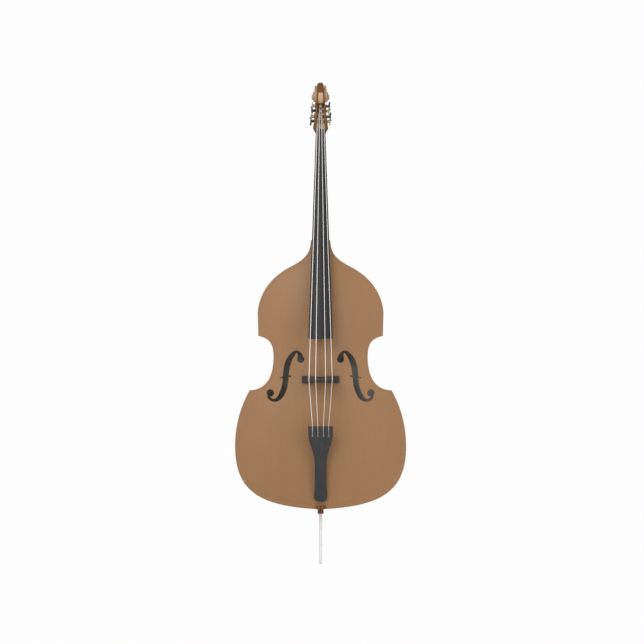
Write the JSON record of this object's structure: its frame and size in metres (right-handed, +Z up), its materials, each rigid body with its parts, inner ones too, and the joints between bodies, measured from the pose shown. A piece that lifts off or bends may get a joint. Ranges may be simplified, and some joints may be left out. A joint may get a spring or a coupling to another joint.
{
  "type": "double bass",
  "caption": "Upright double bass: hollow arched body with corners and f-holes, long neck with a scroll, fingerboard, bridge, tailpiece, worm-gear tuning machines and a sliding endpin.",
  "frame": {"origin": "foot of the endpin, on the instrument's centre line, at the floor", "axes": "+Z up the endpin and body towards the scroll, -Y towards the front (belly side), +X to the right seen from the front (the treble side)"},
  "size_m": [0.71, 0.4074, 1.9987],
  "materials": {
    "varnished_wood": "flat brown varnish with a soft satin sheen",
    "bare_spruce": "unvarnished, sawn and planed",
    "brown_maple": "brown varnish, oiled on the neck",
    "dark_ebony": "dark grey-black, planed and oiled",
    "rosewood": "reddish brown, turned and polished",
    "dark_roller_wood": "dark brown, turned",
    "string_steel": "flat-wound steel",
    "polished_steel": "drawn and polished rod",
    "black_steel": "blackened, satin",
    "brass": "aged brass",
    "brown_gut": "twisted brown gut"
  },
  "bodies": {
    "root": {"top_plate": "varnished_wood", "back_plate": "varnished_wood", "upper_rib_left": "varnished_wood", "centre_rib_left": "varnished_wood", "lower_rib_left": "varnished_wood", "upper_rib_right": "varnished_wood", "centre_rib_right": "varnished_wood", "lower_rib_right": "varnished_wood", "lower_corner_block_left": "bare_spruce", "upper_corner_block_left": "bare_spruce", "lower_corner_block_right": "bare_spruce", "upper_corner_block_right": "bare_spruce", "lower_block": "bare_spruce", "upper_block": "bare_spruce", "front_lining_upper_left": "bare_spruce", "back_lining_upper_left": "bare_spruce", "front_lining_centre_left": "bare_spruce", "back_lining_centre_left": "bare_spruce", "front_lining_lower_left": "bare_spruce", "back_lining_lower_left": "bare_spruce", "front_lining_upper_right": "bare_spruce", "back_lining_upper_right": "bare_spruce", "front_lining_centre_right": "bare_spruce", "back_lining_centre_right": "bare_spruce", "front_lining_lower_right": "bare_spruce", "back_lining_lower_right": "bare_spruce", "bass_bar": "bare_spruce", "sound_post": "bare_spruce", "fingerboard": "dark_ebony", "neck": "brown_maple", "nut": "dark_ebony", "string_e": "string_steel", "string_a": "string_steel", "string_d": "string_steel", "string_g": "string_steel", "bridge": "dark_ebony", "tailpiece": "dark_ebony", "saddle": "brown_maple", "tailgut": "brown_gut", "endpin_collar": "rosewood", "machine_plate_1": "black_steel", "machine_plate_2": "black_steel", "machine_plate_3": "black_steel", "machine_plate_4": "black_steel"},
    "endpin": {"endpin_rod": "polished_steel", "endpin_tip": "polished_steel"},
    "locking_shoe": {"locking_shoe": "brass"},
    "thumbscrew": {"thumbscrew": "brass"},
    "key_1": {"tuning_key_1": "black_steel"},
    "roller_1": {"roller_1": "dark_roller_wood", "gear_wheel_1": "brass"},
    "key_2": {"tuning_key_2": "black_steel"},
    "roller_2": {"roller_2": "dark_roller_wood", "gear_wheel_2": "brass"},
    "key_3": {"tuning_key_3": "black_steel"},
    "roller_3": {"roller_3": "dark_roller_wood", "gear_wheel_3": "brass"},
    "key_4": {"tuning_key_4": "black_steel"},
    "roller_4": {"roller_4": "dark_roller_wood", "gear_wheel_4": "brass"}
  },
  "joints": [
    {"name": "endpin_slide", "type": "slide", "parent": "root", "child": "endpin", "axis": [0, 0, 1], "range_m": [-0.1, 0.18]},
    {"name": "lock_slide", "type": "slide", "parent": "root", "child": "locking_shoe", "axis": [0, 1, 0], "range_m": [0, 0.00125]},
    {"name": "lock_screw", "type": "hinge", "parent": "locking_shoe", "child": "thumbscrew", "pos_m": [0, 0.0155, 0.2145], "axis": [0, 1, 0], "range_deg": [0, 432]},
    {"name": "key_1_turn", "type": "hinge", "parent": "root", "child": "key_1", "pos_m": [-0.0342, 0.0068, 1.8822], "axis": [0, 1, 0], "continuous": true},
    {"name": "roller_1_turn", "type": "hinge", "parent": "root", "child": "roller_1", "pos_m": [0, 0.0068, 1.902], "axis": [1, 0, 0], "continuous": true},
    {"name": "key_2_turn", "type": "hinge", "parent": "root", "child": "key_2", "pos_m": [0.0342, 0.00032, 1.9002], "axis": [0, 1, 0], "continuous": true},
    {"name": "roller_2_turn", "type": "hinge", "parent": "root", "child": "roller_2", "pos_m": [0, 0.00032, 1.8804], "axis": [1, 0, 0], "continuous": true},
    {"name": "key_3_turn", "type": "hinge", "parent": "root", "child": "key_3", "pos_m": [-0.0382, -0.00628, 1.8386], "axis": [0, 1, 0], "continuous": true},
    {"name": "roller_3_turn", "type": "hinge", "parent": "root", "child": "roller_3", "pos_m": [0, -0.00628, 1.8584], "axis": [1, 0, 0], "continuous": true},
    {"name": "key_4_turn", "type": "hinge", "parent": "root", "child": "key_4", "pos_m": [0.0382, -0.01273, 1.8567], "axis": [0, 1, 0], "continuous": true},
    {"name": "roller_4_turn", "type": "hinge", "parent": "root", "child": "roller_4", "pos_m": [0, -0.01273, 1.8369], "axis": [1, 0, 0], "continuous": true}
  ],
  "couplings": [
    {"joint": "lock_slide", "follows": "lock_screw", "m_per_rad": 0.00015915},
    {"joint": "roller_1_turn", "follows": "key_1_turn", "ratio": -0.05},
    {"joint": "roller_2_turn", "follows": "key_2_turn", "ratio": 0.05},
    {"joint": "roller_3_turn", "follows": "key_3_turn", "ratio": -0.05},
    {"joint": "roller_4_turn", "follows": "key_4_turn", "ratio": 0.05}
  ]
}
